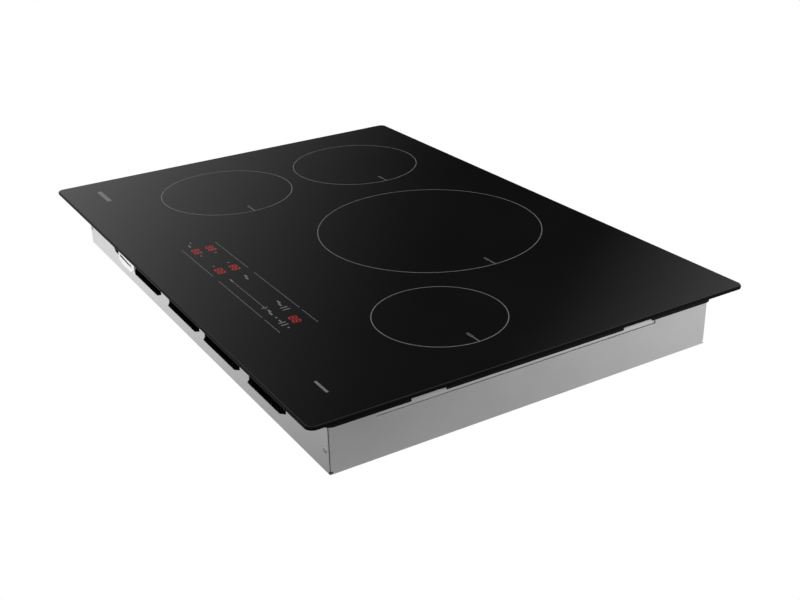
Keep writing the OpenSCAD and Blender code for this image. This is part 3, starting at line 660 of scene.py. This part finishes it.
def soften(node):
    """Breaks the sharp edges of a folded or moulded CAD part, once its flat faces are whole."""
    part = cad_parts[node]
    weld = part.modifiers.new("weld", "WELD")
    weld.merge_threshold = WELD_REACH
    plain = part.modifiers.new("plain", "DECIMATE")
    plain.decimate_type = "DISSOLVE"
    plain.angle_limit = FLAT_WITHIN
    edge = part.modifiers.new("edge", "BEVEL")
    edge.width = SOFT_EDGE_W
    edge.segments = 2
    edge.limit_method = "ANGLE"
    edge.angle_limit = SHARP_PAST
    edge.harden_normals = True


for node_name in FOLDED:
    soften(node_name)


# ---------- coils ----------

def loose_parts(node):
    """The box of each separate solid in a CAD node, lowest corner and highest corner."""
    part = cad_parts[node]
    mesh = bmesh.new()
    mesh.from_mesh(part.data)
    mesh.transform(part.matrix_world)
    bmesh.ops.remove_doubles(mesh, verts=mesh.verts, dist=WELD_REACH)
    unseen = set(mesh.verts)
    boxes = []
    while unseen:
        found, front = [], [unseen.pop()]
        while front:
            vert = front.pop()
            found.append(vert.co.copy())
            for edge in vert.link_edges:
                other = edge.other_vert(vert)
                if other in unseen:
                    unseen.remove(other)
                    front.append(other)
        boxes.append((Vector(min(c[i] for c in found) for i in range(3)),
                      Vector(max(c[i] for c in found) for i in range(3))))
    mesh.free()
    return sorted(boxes, key=lambda b: tuple(round(v, 5) for v in b[0]))


WIRE_SIDES = 8


def wound(mesh, centre, turns, turn_steps, path, half_w, half_h):
    """An oval wire wound round a centre; path gives its radius and z at each share of its way."""
    rings = []
    steps = int(turns * turn_steps)
    for i in range(steps + 1):
        share = i / steps
        turn = math.tau * turns * share
        out = Vector((math.cos(turn), math.sin(turn), 0))
        radius, z = path(share)
        core = Vector((centre.x, centre.y, z)) + out * radius
        rings.append([core + out * (half_w * math.cos(q)) + UP * (half_h * math.sin(q))
                      for q in (math.tau * k / WIRE_SIDES for k in range(WIRE_SIDES))])
    loft(mesh, rings)


SPRING_WIRE_R = 0.55 * MM
SPRING_TURNS = 5.5
SPRING_STEPS = 20
# At each end the turns lie closed, a little more than a wire's thickness apart
CLOSED_TURNS = 0.9
CLOSED_PITCH = 2.2 * SPRING_WIRE_R
CLOSED_SHARE = CLOSED_TURNS / SPRING_TURNS


def open_rise(share):
    """How far up its open turns the spring is, 0 to 1; its end turns are closed and add nothing."""
    return min(1.0, max(0.0, (share - CLOSED_SHARE) / (1 - 2 * CLOSED_SHARE)))


def closed_rise(share):
    """The height its closed end turns have added by then."""
    return CLOSED_PITCH * (min(share, CLOSED_SHARE) + max(0.0, share - 1 + CLOSED_SHARE)) * SPRING_TURNS


def spring_set(zone):
    """Wire springs between the tray and a coil's carrier."""
    mesh = bmesh.new()
    for low, high in loose_parts(f"springs_{zone}"):
        radius = (high.x - low.x) / 2 - SPRING_WIRE_R
        z0, z1 = low.z + SPRING_WIRE_R, high.z - SPRING_WIRE_R
        rise = z1 - z0 - CLOSED_PITCH * 2 * CLOSED_TURNS
        wound(mesh, (low + high) / 2, SPRING_TURNS, SPRING_STEPS,
              lambda share: (radius, z0 + closed_rise(share) + rise * open_rise(share)),
              SPRING_WIRE_R, SPRING_WIRE_R)
    made = piece_from(mesh, f"spring_wires_{zone}", "spring_steel")
    smooth(made)
    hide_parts(f"springs_{zone}")
    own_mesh(made)


LITZ_INNER_R = 22 * MM
LITZ_PITCH = 4.6 * MM
LITZ_HALF_W = 2.1 * MM
LITZ_HALF_H = 1.9 * MM
LITZ_STEPS = 72


def litz_spiral(zone):
    """One flat spiral of stranded copper on the carrier."""
    low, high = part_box(f"winding_{zone}")
    outer = (high.x - low.x) / 2 - LITZ_HALF_W
    turns = math.floor((outer - LITZ_INNER_R) / LITZ_PITCH)
    mesh = bmesh.new()
    wound(mesh, (low + high) / 2, turns, LITZ_STEPS,
          lambda share: (LITZ_INNER_R + (outer - LITZ_INNER_R) * share, low.z + LITZ_HALF_H),
          LITZ_HALF_W, LITZ_HALF_H)
    made = piece_from(mesh, f"litz_{zone}", "litz", body=f"coil_{zone}")
    smooth(made)
    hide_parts(f"winding_{zone}")


for zone in ZONES:
    spring_set(zone)
    litz_spiral(zone)


# ---------- floor, world, camera ----------

FLOOR_SIZE = 40
FLOOR_GAP = 0.05 * MM
# The glow at the dark spot, how fast it rises per metre away from there, and its most
FLOOR_DARK = 0.015
FLOOR_RISE = 1.22
FLOOR_MOST = 1.05
DARK_SPOT = (0.6, -0.22, 0.0)


def floor():
    """A floor that is plain white to the camera and lights the box least from off its right side."""
    bpy.ops.mesh.primitive_plane_add(size=FLOOR_SIZE, location=(0, 0, cad_low.z - FLOOR_GAP))
    made = bpy.context.object
    made.name = "floor"
    material = bpy.data.materials.new("floor_white")
    material.use_nodes = True
    tree = material.node_tree
    tree.nodes.clear()
    coords = put(tree, "ShaderNodeTexCoord").outputs["Object"]
    away = put(tree, "ShaderNodeVectorMath", {0: coords, 1: DARK_SPOT}, operation="DISTANCE")
    risen = math_node(tree, "MULTIPLY", away.outputs["Value"], FLOOR_RISE)
    glow = math_node(tree, "ADD", risen, FLOOR_DARK)
    glow = math_node(tree, "MINIMUM", glow, FLOOR_MOST)
    seen = put(tree, "ShaderNodeLightPath").outputs["Is Camera Ray"]
    strength = put(tree, "ShaderNodeMix", {0: seen, 2: glow, 3: 1.0}, data_type="FLOAT").outputs[0]
    light = put(tree, "ShaderNodeEmission", {"Color": (1, 1, 1, 1), "Strength": strength})
    out = put(tree, "ShaderNodeOutputMaterial")
    tree.links.new(light.outputs[0], out.inputs["Surface"])
    made.data.materials.append(material)


SKY_MOST = 1.35
# An edge is its angle in degrees at LOBE_TILT up, and brightness is the gain at LOBE_SPAN past it
LOBE_TILT = 20.0
LOBE_SPAN = 20.0
LEFT_LOBE = {"edge": 35.55, "slope": -0.3095, "gain": 0.400, "power": 1.93, "sign": -1}
REAR_LOBE = {"edge": 42.67, "slope": -0.711, "gain": 0.943, "power": 1.57, "sign": 1}


def lobe(tree, angle, tilt, edge, slope, gain, power, sign):
    """Brightness that grows past an edge, with the edge leaning by slope per degree of tilt."""
    lean = math_node(tree, "MULTIPLY", math_node(tree, "SUBTRACT", tilt, LOBE_TILT), slope)
    past = math_node(tree, "SUBTRACT", angle, math_node(tree, "ADD", lean, edge))
    share = math_node(tree, "MAXIMUM", math_node(tree, "MULTIPLY", past, sign / LOBE_SPAN), 0.0)
    grown = math_node(tree, "MULTIPLY", math_node(tree, "POWER", share, power), gain)
    return math_node(tree, "MINIMUM", grown, SKY_MOST)


def surroundings():
    """White to the eye; in light and reflections, two soft lobes with a dark stretch between."""
    world = bpy.data.worlds.new("studio")
    bpy.context.scene.world = world
    world.use_nodes = True
    tree = world.node_tree
    tree.nodes.clear()
    way = put(tree, "ShaderNodeTexCoord").outputs["Generated"]
    parts = put(tree, "ShaderNodeSeparateXYZ", {"Vector": way}).outputs
    back_x = math_node(tree, "MULTIPLY", parts["X"], -1.0)
    degrees = 180 / math.pi
    angle = math_node(tree, "MULTIPLY", math_node(tree, "ARCTAN2", parts["Y"], back_x), degrees)
    tilt = math_node(tree, "MULTIPLY", math_node(tree, "ARCSINE", parts["Z"]), degrees)
    left = lobe(tree, angle, tilt, **LEFT_LOBE)
    rear = lobe(tree, angle, tilt, **REAR_LOBE)
    total = math_node(tree, "ADD", left, rear)
    sky = put(tree, "ShaderNodeBackground", {"Color": (1, 1, 1, 1), "Strength": total})
    white = put(tree, "ShaderNodeBackground", {"Color": (1, 1, 1, 1), "Strength": 1.0})
    seen = put(tree, "ShaderNodeLightPath").outputs["Is Camera Ray"]
    mix = put(tree, "ShaderNodeMixShader", {0: seen, 1: sky.outputs[0], 2: white.outputs[0]})
    out = put(tree, "ShaderNodeOutputWorld")
    tree.links.new(mix.outputs[0], out.inputs["Surface"])


CAMERA_SPOT = (1.1542, -0.6413, 0.6021)
CAMERA_TURN = tuple(math.radians(a) for a in (65.055, 2.038, 59.709))
CAMERA_LENS = 51.02
CAMERA_SHIFT = (0.0446, -0.0062)


def camera():
    """The camera, looking down from off the front right corner."""
    data = bpy.data.cameras.new("camera")
    data.sensor_width = 36.0
    data.lens = CAMERA_LENS
    data.shift_x, data.shift_y = CAMERA_SHIFT
    data.clip_start = 0.05
    data.clip_end = 100.0
    made = bpy.data.objects.new("camera", data)
    made.location = CAMERA_SPOT
    made.rotation_euler = Euler(CAMERA_TURN)
    bpy.context.scene.collection.objects.link(made)
    bpy.context.scene.camera = made


floor()
surroundings()
camera()
bpy.context.scene.view_settings.view_transform = "Standard"
bpy.context.scene.view_settings.look = "None"
